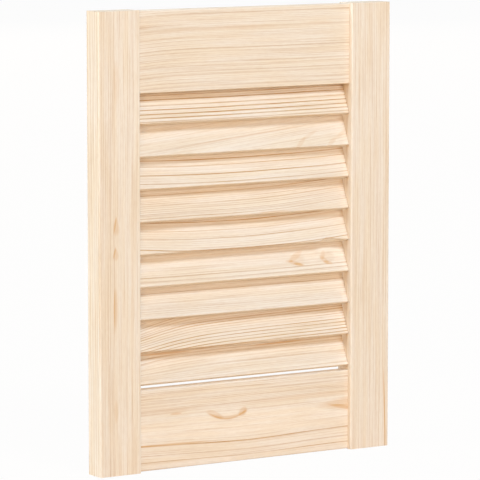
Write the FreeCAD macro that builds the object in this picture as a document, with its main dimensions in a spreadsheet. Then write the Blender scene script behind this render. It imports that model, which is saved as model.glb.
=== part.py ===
import FreeCAD, Part
import enum
import os
import Sketcher

# A louvred cabinet door in pine, in millimetres.
# Two upright stiles carry a top and a bottom rail on dowels. A row of fixed slats lies in slanted slots
# that are routed into the stiles' inner edges. Each slat slopes down to the front, so that air passes but
# nobody standing before the door sees in.
# The origin is at the bottom centre of the door, with +X to the right seen from the front, the front face
# towards -Y and +Z up.

# Driving sizes
SIZES = {
    # The whole door
    "door_height": 395,
    "door_width": 294,
    # Stiles, whose long edges are eased to a small radius
    "stile_width": 40,
    "stile_thickness": 21,
    "stile_easing": 1.2,
    # Rails, thinner than the stiles and centred in them, a little short of the stile ends
    "top_rail_height": 70,
    "bottom_rail_height": 70,
    "rail_thickness": 12,
    "rail_end_inset": 0.5,
    "rail_easing": 0.7,
    # Slats, eased like the other boards, their lower edges level with the rails' front faces
    "slat_count": 9,
    "slat_width": 28,
    "slat_thickness": 5,
    "slat_easing": 1,
    "slat_tilt": 24,
    "slat_top_gap": 0.3,
    "slat_bottom_gap": 3.6,
    # Slots in the stiles that the slats' ends lie in
    "slot_depth": 10,
    "slat_clearance": 0.15,
    "slat_end_gap": 0.5,
    # Fluted dowels, two at each corner, half in the rail and half in the stile
    "dowel_diameter": 6,
    "dowel_length": 40,
    "dowel_edge_distance": 16,
    "dowel_chamfer": 0.8,
    "dowel_clearance": 0.05,
    "dowel_end_gap": 1,
    "flute_count": 6,
    "flute_depth": 0.4,
}

# Sizes worked out from the driving ones. The slats are spaced evenly over the opening.
LAYOUT = {
    "opening_width": "Sizes.door_width - 2 * Sizes.stile_width",
    "opening_bottom": "Sizes.rail_end_inset + Sizes.bottom_rail_height",
    "opening_top": "Sizes.door_height - Sizes.rail_end_inset - Sizes.top_rail_height",
    "stile_centre": "(Sizes.door_width - Sizes.stile_width) / 2",
    "top_rail_centre": "opening_top + Sizes.top_rail_height / 2",
    "bottom_rail_centre": "opening_bottom - Sizes.bottom_rail_height / 2",
    "slat_length": "opening_width + 2 * (Sizes.slot_depth - Sizes.slat_end_gap)",
    "corner_up": "Sizes.slat_width / 2 - Sizes.slat_easing",
    "corner_out": "Sizes.slat_thickness / 2 - Sizes.slat_easing",
    "half_height": "corner_up * cos(Sizes.slat_tilt) + corner_out * sin(Sizes.slat_tilt) + Sizes.slat_easing",
    "half_depth": "corner_up * sin(Sizes.slat_tilt) + corner_out * cos(Sizes.slat_tilt) + Sizes.slat_easing",
    "slat_depth": "half_depth - Sizes.rail_thickness / 2",
    "top_slat_height": "opening_top - Sizes.slat_top_gap - half_height",
    "bottom_slat_height": "opening_bottom + Sizes.slat_bottom_gap + half_height",
    "slat_spacing": "(top_slat_height - bottom_slat_height) / (Sizes.slat_count - 1)",
    "bore_radius": "Sizes.dowel_diameter / 2 + Sizes.dowel_clearance",
    "bore_depth": "Sizes.dowel_length / 2 + Sizes.dowel_end_gap",
    "top_upper_dowel": "opening_top + Sizes.top_rail_height - Sizes.dowel_edge_distance",
    "top_lower_dowel": "opening_top + Sizes.dowel_edge_distance",
    "bottom_upper_dowel": "opening_bottom - Sizes.dowel_edge_distance",
    "bottom_lower_dowel": "opening_bottom - Sizes.bottom_rail_height + Sizes.dowel_edge_distance",
}

RAILS = ("top", "bottom")
SIDES = {"left": -1, "right": 1}
DOWEL_ROWS = ("upper", "lower")

# Lines are first drawn roughly, at this size, and their dimensions then set them
ROUGH = 5.0

# In a sketch that faces +X, turning about this axis leans an upright shape towards the door's back
LEAN_BACK = FreeCAD.Vector(0, 0, -1)


class Axis(enum.IntEnum):
    """Numbers by which a constraint names the axes of its sketch."""

    LEVEL = -1
    UPRIGHT = -2


class Point(enum.IntEnum):
    """Numbers by which a constraint names the points of a line or a circle."""

    START = 1
    END = 2
    CENTRE = 3


# A sketch's origin is the start of its level axis
ORIGIN = (Axis.LEVEL, Point.START)


def make_sheet(doc, name, cells):
    """Makes a spreadsheet with one named cell per row."""
    sheet = doc.addObject("Spreadsheet::Sheet", name)
    for row, (alias, content) in enumerate(cells.items(), start=1):
        sheet.set(f"A{row}", alias)
        sheet.set(f"B{row}", str(content))
        sheet.setAlias(f"B{row}", alias)
    doc.recompute()


def make_body(doc, label, position):
    """Makes an empty body whose place is bound to the sheets: position holds an expression for each axis."""
    body = doc.addObject("PartDesign::Body", label)
    body.Label = label
    for axis, expression in position.items():
        body.setExpression(f"Placement.Base.{axis}", expression)
    return body


def origin_feature(body, role):
    """Finds one of the body's own planes or axes by its role."""
    return next(item for item in body.Origin.OriginFeatures if item.Role == role)


def make_sketch(body, name, plane, offset=None):
    """Attaches a sketch to one of the body's own planes, moved along the plane's normal by an expression."""
    sketch = body.newObject("Sketcher::SketchObject", name)
    sketch.AttachmentSupport = [(origin_feature(body, plane), "")]
    sketch.MapMode = "FlatFace"
    if offset:
        sketch.setExpression("AttachmentOffset.Base.z", offset)
    return sketch


def add_bound(sketch, name, expression, *constraint):
    """Adds a named dimension to a sketch and binds it to an expression."""
    sketch.addConstraint(Sketcher.Constraint(*constraint))
    sketch.renameConstraint(sketch.ConstraintCount - 1, name)
    sketch.setExpression(f"Constraints.{name}", expression)


def draw_rectangle(sketch, width, height):
    """Draws a rectangle centred on the sketch's origin."""
    bottom, right, top, left = range(4)
    corners = [FreeCAD.Vector(x * ROUGH, y * ROUGH) for x, y in ((-1, -1), (1, -1), (1, 1), (-1, 1))]
    for start, end in zip(corners, corners[1:] + corners[:1]):
        sketch.addGeometry(Part.LineSegment(start, end))
    for line, following in ((bottom, right), (right, top), (top, left), (left, bottom)):
        sketch.addConstraint(Sketcher.Constraint("Coincident", line, Point.END, following, Point.START))
    for line in (bottom, top):
        sketch.addConstraint(Sketcher.Constraint("Horizontal", line))
    for line in (right, left):
        sketch.addConstraint(Sketcher.Constraint("Vertical", line))
    sketch.addConstraint(Sketcher.Constraint("Symmetric", bottom, Point.START, right, Point.END, *ORIGIN))
    add_bound(sketch, "width", width, "DistanceX", bottom, Point.START, bottom, Point.END, 2 * ROUGH)
    add_bound(sketch, "height", height, "DistanceY", right, Point.START, right, Point.END, 2 * ROUGH)


def turn_sketch(sketch, axis, angle):
    """Turns a sketch in its plane, about an axis of either sense, by an expression for the angle."""
    rough_angle = 30
    sketch.AttachmentOffset = FreeCAD.Placement(FreeCAD.Vector(), FreeCAD.Rotation(axis, rough_angle))
    sketch.setExpression("AttachmentOffset.Rotation.Angle", angle)


def draw_circles(sketch, radius, heights):
    """Draws a column of equal circles on the sketch's upright axis, one for each height."""
    for number, height in enumerate(heights):
        centre = FreeCAD.Vector(0, number * ROUGH)
        sketch.addGeometry(Part.Circle(centre, FreeCAD.Vector(0, 0, 1), ROUGH))
        sketch.addConstraint(Sketcher.Constraint("PointOnObject", number, Point.CENTRE, Axis.UPRIGHT))
        add_bound(sketch, f"height_{number}", height, "DistanceY", *ORIGIN, number, Point.CENTRE, centre.y)
        add_bound(sketch, f"radius_{number}", radius, "Radius", number, ROUGH)


def pad(body, sketch, name, length, symmetric=False):
    """Pads a sketch along its normal, to one side or evenly to both."""
    feature = body.newObject("PartDesign::Pad", name)
    feature.Profile = sketch
    feature.SideType = "Symmetric" if symmetric else "One side"
    feature.setExpression("Length", length)
    body.Document.recompute()
    return feature


def pocket(body, sketch, name, depth, reverse=False):
    """Cuts a sketch into the body and makes sure that it took wood away."""
    volume_before = body.Shape.Volume
    feature = body.newObject("PartDesign::Pocket", name)
    feature.Profile = sketch
    feature.Reversed = reverse
    feature.setExpression("Length", depth)
    body.Document.recompute()
    if not body.Shape.Volume < volume_before:
        raise RuntimeError(f"{name} cuts nothing from {body.Label}")
    return feature


def repeat(body, kind, name, original, **settings):
    """Repeats a feature with a pattern or a mirror, which becomes the body's tip."""
    volume_before = body.Shape.Volume
    feature = body.newObject(f"PartDesign::{kind}", name)
    feature.Originals = [original]
    for setting, value in settings.items():
        if isinstance(value, str):
            feature.setExpression(setting, value)
        else:
            setattr(feature, setting, value)
    body.Tip = feature
    body.Document.recompute()
    if not body.Shape.Volume < volume_before:
        raise RuntimeError(f"{name} repeats nothing on {body.Label}")
    return feature


def ease_long_edges(body, base, name, direction, radius):
    """Rounds the straight edges of a board that run along its length."""
    edges = []
    for number, edge in enumerate(base.Shape.Edges, start=1):
        if abs(edge.tangentAt(edge.FirstParameter).dot(direction)) > 0.999:
            edges.append(f"Edge{number}")
    feature = body.newObject("PartDesign::Fillet", name)
    feature.Base = (base, edges)
    feature.setExpression("Radius", radius)
    body.Document.recompute()
    return feature


def make_stile(doc, side):
    """Makes one upright, with a slanted slot for each slat and blind bores for the dowels."""
    sign = SIDES[side]
    body = make_body(doc, f"{side}_stile", {"x": f"{sign} * Layout.stile_centre"})
    section = make_sketch(body, f"{side}_stile_section", "XY_Plane")
    draw_rectangle(section, "Sizes.stile_width", "Sizes.stile_thickness")
    board = pad(body, section, f"{side}_stile_board", "Sizes.door_height")
    ease_long_edges(body, board, f"{side}_stile_easing", FreeCAD.Vector(0, 0, 1), "Sizes.stile_easing")

    inner_face = f"{-sign} * Sizes.stile_width / 2"
    cuts_towards_plus_x = sign > 0
    bores = make_sketch(body, f"{side}_stile_bore_places", "YZ_Plane", inner_face)
    heights = [f"Layout.{rail}_{row}_dowel" for rail in RAILS for row in DOWEL_ROWS]
    draw_circles(bores, "Layout.bore_radius", heights)
    pocket(body, bores, f"{side}_stile_bores", "Layout.bore_depth", cuts_towards_plus_x)

    slot_section = make_sketch(body, f"{side}_stile_slot_section", "YZ_Plane")
    turn_sketch(slot_section, LEAN_BACK, "Sizes.slat_tilt")
    slot_section.setExpression("AttachmentOffset.Base.x", "Layout.slat_depth")
    slot_section.setExpression("AttachmentOffset.Base.y", "Layout.top_slat_height")
    slot_section.setExpression("AttachmentOffset.Base.z", inner_face)
    draw_rectangle(
        slot_section,
        "Sizes.slat_thickness + 2 * Sizes.slat_clearance",
        "Sizes.slat_width + 2 * Sizes.slat_clearance",
    )
    slot = pocket(body, slot_section, f"{side}_stile_slot", "Sizes.slot_depth", cuts_towards_plus_x)
    repeat(
        body, "LinearPattern", f"{side}_stile_slots", slot,
        Direction=(origin_feature(body, "Z_Axis"), [""]),
        Reversed=True,
        Length="Layout.top_slat_height - Layout.bottom_slat_height",
        Occurrences="Sizes.slat_count",
    )
    return body


def make_rail(doc, rail):
    """Makes one crosspiece, which butts against both stiles and is bored for the dowels at each end."""
    body = make_body(doc, f"{rail}_rail", {"z": f"Layout.{rail}_rail_centre"})
    section = make_sketch(body, f"{rail}_rail_section", "YZ_Plane")
    draw_rectangle(section, "Sizes.rail_thickness", f"Sizes.{rail}_rail_height")
    board = pad(body, section, f"{rail}_rail_board", "Layout.opening_width", symmetric=True)
    ease_long_edges(body, board, f"{rail}_rail_easing", FreeCAD.Vector(1, 0, 0), "Sizes.rail_easing")

    bores = make_sketch(body, f"{rail}_rail_bore_places", "YZ_Plane", "Layout.opening_width / 2")
    heights = [f"Layout.{rail}_{row}_dowel - Layout.{rail}_rail_centre" for row in DOWEL_ROWS]
    draw_circles(bores, "Layout.bore_radius", heights)
    right_bores = pocket(body, bores, f"{rail}_rail_right_bores", "Layout.bore_depth")
    repeat(
        body, "Mirrored", f"{rail}_rail_bores", right_bores,
        MirrorPlane=(origin_feature(body, "YZ_Plane"), [""]),
    )
    return body


def make_slat(doc, number):
    """Makes one slat, counted from the top, long enough to lie in the slots of both stiles."""
    position = {
        "y": "Layout.slat_depth",
        "z": f"Layout.top_slat_height - {number - 1} * Layout.slat_spacing",
    }
    body = make_body(doc, f"slat_{number}", position)
    section = make_sketch(body, f"slat_{number}_section", "YZ_Plane")
    turn_sketch(section, LEAN_BACK, "Sizes.slat_tilt")
    draw_rectangle(section, "Sizes.slat_thickness", "Sizes.slat_width")
    board = pad(body, section, f"slat_{number}_board", "Layout.slat_length", symmetric=True)
    ease_long_edges(body, board, f"slat_{number}_easing", FreeCAD.Vector(1, 0, 0), "Sizes.slat_easing")
    return body


def make_dowel(doc, rail, side, row):
    """Makes one fluted dowel across the joint between a rail and a stile."""
    label = f"dowel_{rail}_{side}_{row}"
    position = {"x": f"{SIDES[side]} * Layout.opening_width / 2", "z": f"Layout.{rail}_{row}_dowel"}
    body = make_body(doc, label, position)
    section = make_sketch(body, f"{label}_section", "YZ_Plane")
    draw_circles(section, "Sizes.dowel_diameter / 2", ["0"])
    rod = pad(body, section, f"{label}_rod", "Sizes.dowel_length", symmetric=True)

    ends = [f"Edge{number}" for number, edge in enumerate(rod.Shape.Edges, start=1) if edge.isClosed()]
    chamfer = body.newObject("PartDesign::Chamfer", f"{label}_chamfer")
    chamfer.Base = (rod, ends)
    chamfer.setExpression("Size", "Sizes.dowel_chamfer")
    doc.recompute()

    # A square on its corner, centred on the dowel's surface, cuts a flute
    flute_section = make_sketch(body, f"{label}_flute_section", "YZ_Plane")
    turn_sketch(flute_section, LEAN_BACK, "45")
    flute_section.setExpression("AttachmentOffset.Base.y", "Sizes.dowel_diameter / 2")
    flute_section.setExpression("AttachmentOffset.Base.z", "Sizes.dowel_length / 2")
    draw_rectangle(flute_section, "Sizes.flute_depth * sqrt(2)", "Sizes.flute_depth * sqrt(2)")
    flute = pocket(body, flute_section, f"{label}_flute", "Sizes.dowel_length")
    repeat(
        body, "PolarPattern", f"{label}_flutes", flute,
        Axis=(origin_feature(body, "X_Axis"), [""]),
        Angle=360,
        Occurrences="Sizes.flute_count",
    )
    return body


def check(doc, bodies):
    """Stops if a feature failed, a sketch has a loose line or a piece isn't one sound solid."""
    for item in doc.Objects:
        if "Invalid" in item.State or "Error" in item.State:
            raise RuntimeError(f"{item.Name} failed: {item.State}")
        if item.isDerivedFrom("Sketcher::SketchObject") and not item.FullyConstrained:
            raise RuntimeError(f"{item.Name} isn't fully constrained")
    for body in bodies:
        if body.Shape.isNull() or not body.Shape.isValid() or len(body.Shape.Solids) != 1:
            raise RuntimeError(f"{body.Label} isn't one sound solid")


def main():
    doc = FreeCAD.newDocument("LouvredCabinetDoor")
    make_sheet(doc, "Sizes", SIZES)
    make_sheet(doc, "Layout", {alias: f"={formula}" for alias, formula in LAYOUT.items()})

    bodies = [make_stile(doc, side) for side in SIDES]
    bodies += [make_rail(doc, rail) for rail in RAILS]
    bodies += [make_slat(doc, number) for number in range(1, SIZES["slat_count"] + 1)]
    bodies += [make_dowel(doc, rail, side, row) for rail in RAILS for side in SIDES for row in DOWEL_ROWS]
    doc.recompute()
    check(doc, bodies)

    os.makedirs("parts", exist_ok=True)
    for body in bodies:
        body.Shape.exportStep(f"parts/{body.Label}.step")
        print(f"{body.Label}: {body.Shape.Volume / 1000:.2f} cm3")


main()
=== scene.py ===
"""Dresses a louvred pine cabinet door: grain on every board, the row of slats, the studio and the camera.

Lengths in metres are in the door's own frame: X to the right, Z up, the front towards -Y. A board's
grain is laid out in millimetres in its own axes: along its length, across its face and out of its face.
"""
import logging
import math
from dataclasses import dataclass
from enum import Enum

import bpy
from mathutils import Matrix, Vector


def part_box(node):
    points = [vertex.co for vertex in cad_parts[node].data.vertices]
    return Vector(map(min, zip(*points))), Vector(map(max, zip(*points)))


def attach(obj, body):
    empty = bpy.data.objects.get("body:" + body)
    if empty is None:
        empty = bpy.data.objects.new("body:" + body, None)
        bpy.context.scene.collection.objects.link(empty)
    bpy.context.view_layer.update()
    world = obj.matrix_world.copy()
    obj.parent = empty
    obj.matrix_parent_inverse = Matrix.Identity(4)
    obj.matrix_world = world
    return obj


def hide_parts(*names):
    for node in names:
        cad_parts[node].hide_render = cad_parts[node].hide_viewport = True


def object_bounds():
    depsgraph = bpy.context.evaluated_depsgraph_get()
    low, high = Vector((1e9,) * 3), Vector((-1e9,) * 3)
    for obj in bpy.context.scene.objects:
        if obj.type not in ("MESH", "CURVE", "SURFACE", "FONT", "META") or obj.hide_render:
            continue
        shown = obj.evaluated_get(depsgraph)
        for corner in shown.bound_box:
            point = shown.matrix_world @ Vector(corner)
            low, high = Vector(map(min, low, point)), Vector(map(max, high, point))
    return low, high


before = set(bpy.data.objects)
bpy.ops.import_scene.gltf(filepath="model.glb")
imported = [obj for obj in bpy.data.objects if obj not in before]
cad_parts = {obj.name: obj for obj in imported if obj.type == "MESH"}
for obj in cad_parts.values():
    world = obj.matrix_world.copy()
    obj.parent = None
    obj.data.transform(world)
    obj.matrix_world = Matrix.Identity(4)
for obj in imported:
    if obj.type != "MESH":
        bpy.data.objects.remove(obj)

CAD_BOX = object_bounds()
MM = 0.001
BODY = "root"
WHITE = (1.0, 1.0, 1.0, 1.0)
SLAT_TILT = 24.0  # How far the slats lean back from upright, degrees
BOW_REACH = 100.0  # How far from a board's middle its bow is measured, mm
NOISE_MEAN = (0.5, 0.5, 0.5)  # Mean of a noise's three colours
NOISE_SWING = 0.25  # How far a noise usually goes from its mean
NOISE_SPAN = (0.3, 0.7)  # Where most of a noise's values lie
HALF_STEP = 0.5  # Numbers of slats that differ by less are the same

Value = bpy.types.NodeSocket | bpy.types.Material | float | int | str | tuple[float, ...]
Place = tuple[float, float, float]
Pair = tuple[float, float]

log = logging.getLogger("louvred_door")


class Lay(Enum):
    """How a board lies in the door: the turn in degrees from its own axes to the door's."""

    UPRIGHT = (90.0, -90.0, 0.0)
    LEVEL = (90.0, 0.0, 0.0)
    SLANTED = (90.0 - SLAT_TILT, 0.0, 0.0)


class Grain(Enum):
    """The node groups that make up the grain of pine."""

    SWIRL = "pine_swirl"
    FLECK = "pine_fleck"
    FIELD = "pine_field"
    YEAR = "pine_year"
    WOOD = "pine_wood"


class Bench:
    """Adds and wires the nodes of one node tree.

    Args:
        tree: The tree that the nodes go into.
    """

    def __init__(self, tree: bpy.types.NodeTree) -> None:
        """Takes the tree to work in."""
        self.tree = tree

    def feed(self, socket: bpy.types.NodeSocket, value: Value) -> None:
        """Links a socket to another one, or sets its value.

        Args:
            socket: The input to fill.
            value: A socket to link from, or a plain value.
        """
        if isinstance(value, bpy.types.NodeSocket):
            self.tree.links.new(value, socket)
        else:
            socket.default_value = value

    def add(self, kind: str, inputs: dict[str | int, Value] | None = None,
            **settings: object) -> bpy.types.Node:
        """Adds a node.

        Args:
            kind: Blender's name for the kind of node.
            inputs: What goes into its inputs, by name or number.
            **settings: The node's own settings.

        Returns:
            The new node.
        """
        node = self.tree.nodes.new(kind)
        for name, value in settings.items():
            setattr(node, name, value)
        for name, value in (inputs or {}).items():
            self.feed(node.inputs[name], value)
        return node

    def math(self, operation: str, *values: Value, clamp: bool = False) -> bpy.types.NodeSocket:
        """Works out a number from others, held between 0 and 1 where it is clamped."""
        node = self.add("ShaderNodeMath", dict(enumerate(values)), operation=operation, use_clamp=clamp)
        return node.outputs[0]

    def vector(self, operation: str, *values: Value) -> bpy.types.NodeSocket:
        """Works out a vector from others."""
        node = self.add("ShaderNodeVectorMath", dict(enumerate(values)), operation=operation)
        return node.outputs["Vector"]

    def scale(self, vector: Value, factor: Value) -> bpy.types.NodeSocket:
        """Makes a vector longer or shorter by a factor."""
        node = self.add("ShaderNodeVectorMath", {0: vector, "Scale": factor}, operation="SCALE")
        return node.outputs["Vector"]

    def dot(self, first: Value, second: Value) -> bpy.types.NodeSocket:
        """Works out how far one vector goes along another."""
        node = self.add("ShaderNodeVectorMath", {0: first, 1: second}, operation="DOT_PRODUCT")
        return node.outputs["Value"]

    def join(self, **parts: Value) -> bpy.types.NodeSocket:
        """Makes a vector from the parts that are given, named X, Y and Z."""
        return self.add("ShaderNodeCombineXYZ", parts).outputs[0]

    def axes(self, vector: Value) -> bpy.types.NodeOutputs:
        """Takes a vector apart into sockets named X, Y and Z."""
        return self.add("ShaderNodeSeparateXYZ", {0: vector}).outputs

    def ramp(self, value: Value, start: Value, end: Value, low: Value = 0.0,
             high: Value = 1.0) -> bpy.types.NodeSocket:
        """Maps a number smoothly from one range to another, held at both ends.

        Args:
            value: The number to map.
            start: Where the range begins.
            end: Where it ends.
            low: The result at its beginning.
            high: The result at its end.

        Returns:
            The socket with the result.
        """
        inputs = {"Value": value, "From Min": start, "From Max": end, "To Min": low, "To Max": high}
        node = self.add("ShaderNodeMapRange", inputs, interpolation_type="SMOOTHSTEP")
        return node.outputs["Result"]

    def blend(self, share: Value, first: Value, second: Value) -> bpy.types.NodeSocket:
        """Mixes two colours.

        Args:
            share: How much of the second colour shows.
            first: The first colour.
            second: The second colour.

        Returns:
            The socket with the mixed colour.
        """
        node = self.add("ShaderNodeMix", data_type="RGBA")
        # The node has hidden sockets for other kinds of value too
        colours = [socket for socket in node.inputs if socket.type == "RGBA"]
        self.feed(node.inputs[0], share)
        self.feed(colours[0], first)
        self.feed(colours[1], second)
        return next(socket for socket in node.outputs if socket.type == "RGBA")


def new_group(name: str, kind: str, inputs: dict[str, str],
              outputs: dict[str, str]) -> tuple[Bench, bpy.types.NodeOutputs]:
    """Makes a node group with its sockets and nothing between them yet.

    Args:
        name: The group's name.
        kind: Blender's name for the kind of tree.
        inputs: The kind of each input socket, by name.
        outputs: The kind of each output socket, by name.

    Returns:
        A bench for the group's tree, and what the group is given.
    """
    tree = bpy.data.node_groups.new(name, kind)
    for side, sockets in (("INPUT", inputs), ("OUTPUT", outputs)):
        for socket, value in sockets.items():
            tree.interface.new_socket(socket, in_out=side, socket_type=f"NodeSocket{value}")
    bench = Bench(tree)
    return bench, bench.add("NodeGroupInput").outputs


@dataclass(frozen=True)
class Layer:
    """One layer of streaks in a wood, made from stretched noise.

    Attributes:
        stretch: How many streaks there are to a millimetre on each axis.
        detail: How many finer layers the noise has.
        shift: What is added to the board's seed, so that no two layers are alike.
        span: The two values of the noise between which the effect changes.
        effect: The effect at those two values.
    """

    stretch: Place
    detail: float
    shift: float
    span: Pair = (0.0, 1.0)
    effect: Pair = (0.0, 1.0)

    def noise(self, bench: Bench, at: Value, seed: Value) -> bpy.types.Node:
        """Adds the layer's noise, read at a position.

        Args:
            bench: The tree to work in.
            at: The position, mm.
            seed: The board's seed.

        Returns:
            The noise node.
        """
        inputs = {"Vector": bench.vector("MULTIPLY", at, self.stretch), "Scale": 1.0, "Detail": self.detail,
                  "W": bench.math("ADD", seed, self.shift)}
        return bench.add("ShaderNodeTexNoise", inputs, noise_dimensions="4D")

    def effect_of(self, bench: Bench, noise: bpy.types.Node) -> bpy.types.NodeSocket:
        """Turns the layer's noise into its effect."""
        return bench.ramp(noise.outputs[0], *self.span, *self.effect)


@dataclass(frozen=True)
class Year:
    """One year's dark line on the front of a board.

    Attributes:
        across: Where it crosses the board's middle, mm above the middle of the face.
        strength: How dark it is, 0 to 1.
        late: Width of its dark part, mm.
    """

    across: float
    strength: float
    late: float = 1.0


@dataclass(frozen=True)
class Swirl:
    """A place where the growth rings bend, as they do round a small branch.

    Attributes:
        along: Its centre along the board, mm from the middle.
        across: Its centre across the face, mm from the middle.
        length: Its half length, mm.
        height: Its half height, mm.
        push: How far the rings move there towards the tree's centre, mm.
    """

    along: float
    across: float
    length: float
    height: float
    push: float


@dataclass(frozen=True)
class Fleck:
    """A short spindle of stained wood, or of pale wood.

    Attributes:
        along: Its centre along the board, mm from the middle.
        across: Its centre across the face, mm from the middle.
        length: Its half length, mm.
        height: Its half height, mm.
        stain: How dark it is, 0 to 1, or how pale where it is below 0.
        tilt: How steeply it rises along the board, degrees.
        taper: How much slimmer it gets along the board, -1 to 1.
        curl: How much higher its ends are than its middle, mm.
    """

    along: float
    across: float
    length: float
    height: float
    stain: float
    tilt: float = 0.0
    taper: float = 0.0
    curl: float = 0.0


@dataclass(frozen=True)
class PineBoard:
    """How one board was cut from its tree.

    Attributes:
        name: The board's name.
        lay: How it lies in the door.
        middle: The middle of the board in the door's frame, m.
        outward: Half the thickness, mm, where the front face is.
        seed: Which pattern of fibres the board has.
        pith: The tree's centre across and out of the face, mm from the board's middle.
        lean: How the tree's centre drifts across, mm for each mm along.
        bow: How far the tree's centre moves across at 100 mm from the middle, mm.
        wobble: How far the rings wander, mm.
        years: The strong dark lines.
        ring: Mean width of the faint rings between them, mm.
        contrast: Strength of the faint rings, 0 to 1.
        tone: Brightness of the board beside the others.
        swirls: The places where the rings bend.
        flecks: The spindles of stained or pale wood.
    """

    name: str
    lay: Lay
    middle: Place
    outward: float
    seed: float
    pith: Pair = (-60.0, -15.0)
    lean: float = 0.0
    bow: float = 0.0
    wobble: float = 0.5
    years: tuple[Year, ...] = ()
    ring: float = 1.8
    contrast: float = 0.25
    tone: float = 1.0
    swirls: tuple[Swirl, ...] = ()
    flecks: tuple[Fleck, ...] = ()

    def radius(self, year: Year) -> float:
        """Works out how far a year's line is from the tree's centre, mm."""
        return math.hypot(year.across - self.pith[0], self.outward - self.pith[1])


@dataclass(frozen=True)
class PineFinish:
    """Bare planed pine: pale early wood, thin tan late wood, fine fibres and small resin streaks.

    Attributes:
        early: Colour of the pale spring growth.
        yellow: Colour of its yellower stretches.
        late: Colour of the dark summer growth.
        resin: Colour of stained wood.
        edge: How quickly a year's dark part ends, mm.
        swirl_depth: Half depth of a swirl into the board, mm.
        fleck_depth: Half depth of a fleck into the board, mm.
        fleck_core: Share of a fleck, by area, that has its full stain.
        fleck_least: The slimmest that a tapered fleck gets, as a share of its height.
        weather: How quickly wide faint rings give way to narrow ones.
        spring_end: Share of a faint ring that has grown when it begins to darken.
        summer_end: Share of a faint ring that has grown when it is darkest.
        poor_year: Strength of the weakest faint ring beside the strongest.
        wander: How the tree's centre wanders.
        patches: Stretches where every line is fainter.
        warmth: Yellower stretches.
        streaks: Soft streaks.
        hairs: Thin dark hairs.
        nap: The short fine fibres of the planed face.
        roughness: Roughness of the pale wood.
        late_polish: How much smoother the dark rings are.
        nap_roughness: How much rougher the nap is.
        specular: Strength of the wood's gloss.
        relief: How far the grain stands proud, m.
        late_relief: Share of the relief at the dark rings.
        nap_relief: Share of the relief at the nap.
        bump: Strength of the relief.
    """

    early: Place = (0.945, 0.840, 0.720)
    yellow: Place = (0.930, 0.797, 0.640)
    late: Place = (0.540, 0.280, 0.090)
    resin: Place = (0.720, 0.420, 0.190)
    edge: float = 0.25
    swirl_depth: float = 60.0
    fleck_depth: float = 4.0
    fleck_core: float = 0.2
    fleck_least: float = 0.1
    weather: float = 0.45
    spring_end: float = 0.55
    summer_end: float = 0.90
    poor_year: float = 0.4
    wander: Layer = Layer((0.008, 0.020, 0.020), 3.0, 0.0)
    patches: Layer = Layer((0.020, 0.300, 0.000), 2.0, 7.0, (0.30, 0.65), (0.65, 1.00))
    warmth: Layer = Layer((0.012, 0.160, 0.160), 3.0, 11.0, (0.36, 0.64))
    streaks: Layer = Layer((0.008, 0.450, 0.450), 5.0, 3.0, (0.25, 0.75), (0.06, 0.00))
    hairs: Layer = Layer((0.012, 1.250, 1.250), 1.0, 9.0, (0.50, 0.66), (0.00, 0.20))
    nap: Layer = Layer((0.160, 1.800, 1.800), 3.0, 5.0, (0.20, 0.80), (0.16, 0.00))
    roughness: float = 0.82
    late_polish: float = 0.12
    nap_roughness: float = 0.10
    specular: float = 0.08
    relief: float = 0.06 * MM
    late_relief: float = 0.8
    nap_relief: float = 0.5
    bump: float = 0.6

    def swirl_group(self) -> bpy.types.NodeTree:
        """Makes the group that adds one swirl to the growth rings.

        Returns:
            The group.
        """
        bench, given = new_group(
            Grain.SWIRL.value, "ShaderNodeTree",
            {"Position": "Vector", "Centre": "Vector", "Reach": "Vector", "Push": "Float",
             "Before": "Float"},
            {"Push": "Float"})
        away = bench.vector("SUBTRACT", given["Position"], given["Centre"])
        away = bench.vector("DIVIDE", away, given["Reach"])
        near = bench.math("EXPONENT", bench.math("MULTIPLY", bench.dot(away, away), -1.0))
        push = bench.math("MULTIPLY_ADD", near, given["Push"], given["Before"])
        bench.add("NodeGroupOutput", {"Push": push})
        return bench.tree

    def fleck_group(self) -> bpy.types.NodeTree:
        """Makes the group that adds one fleck of stained or pale wood.

        Returns:
            The group.
        """
        bench, given = new_group(
            Grain.FLECK.value, "ShaderNodeTree",
            {"Position": "Vector", "Centre": "Vector", "Reach": "Vector", "Tilt": "Float", "Taper": "Float",
             "Curl": "Float", "Stain": "Float", "Before": "Float"},
            {"Stain": "Float"})
        away = bench.vector("SUBTRACT", given["Position"], given["Centre"])
        back = bench.math("MULTIPLY", given["Tilt"], -1.0)
        away = bench.add("ShaderNodeVectorRotate", {"Vector": away, "Angle": back},
                         rotation_type="Z_AXIS").outputs[0]
        ahead = bench.math("DIVIDE", bench.axes(away)["X"], bench.axes(given["Reach"])["X"])
        curl = bench.math("MULTIPLY", bench.math("MULTIPLY", ahead, ahead), given["Curl"])
        away = bench.vector("DIVIDE", bench.vector("SUBTRACT", away, bench.join(Y=curl)), given["Reach"])
        slim = bench.math("SUBTRACT", 1.0, bench.math("MULTIPLY", ahead, given["Taper"]))
        slim = bench.math("MAXIMUM", slim, self.fleck_least)
        away = bench.vector("DIVIDE", away, bench.join(X=1.0, Y=slim, Z=1.0))
        inside = bench.ramp(bench.dot(away, away), self.fleck_core, 1.0, 1.0, 0.0)
        stain = bench.math("MULTIPLY_ADD", inside, given["Stain"], given["Before"])
        bench.add("NodeGroupOutput", {"Stain": stain})
        return bench.tree

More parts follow.
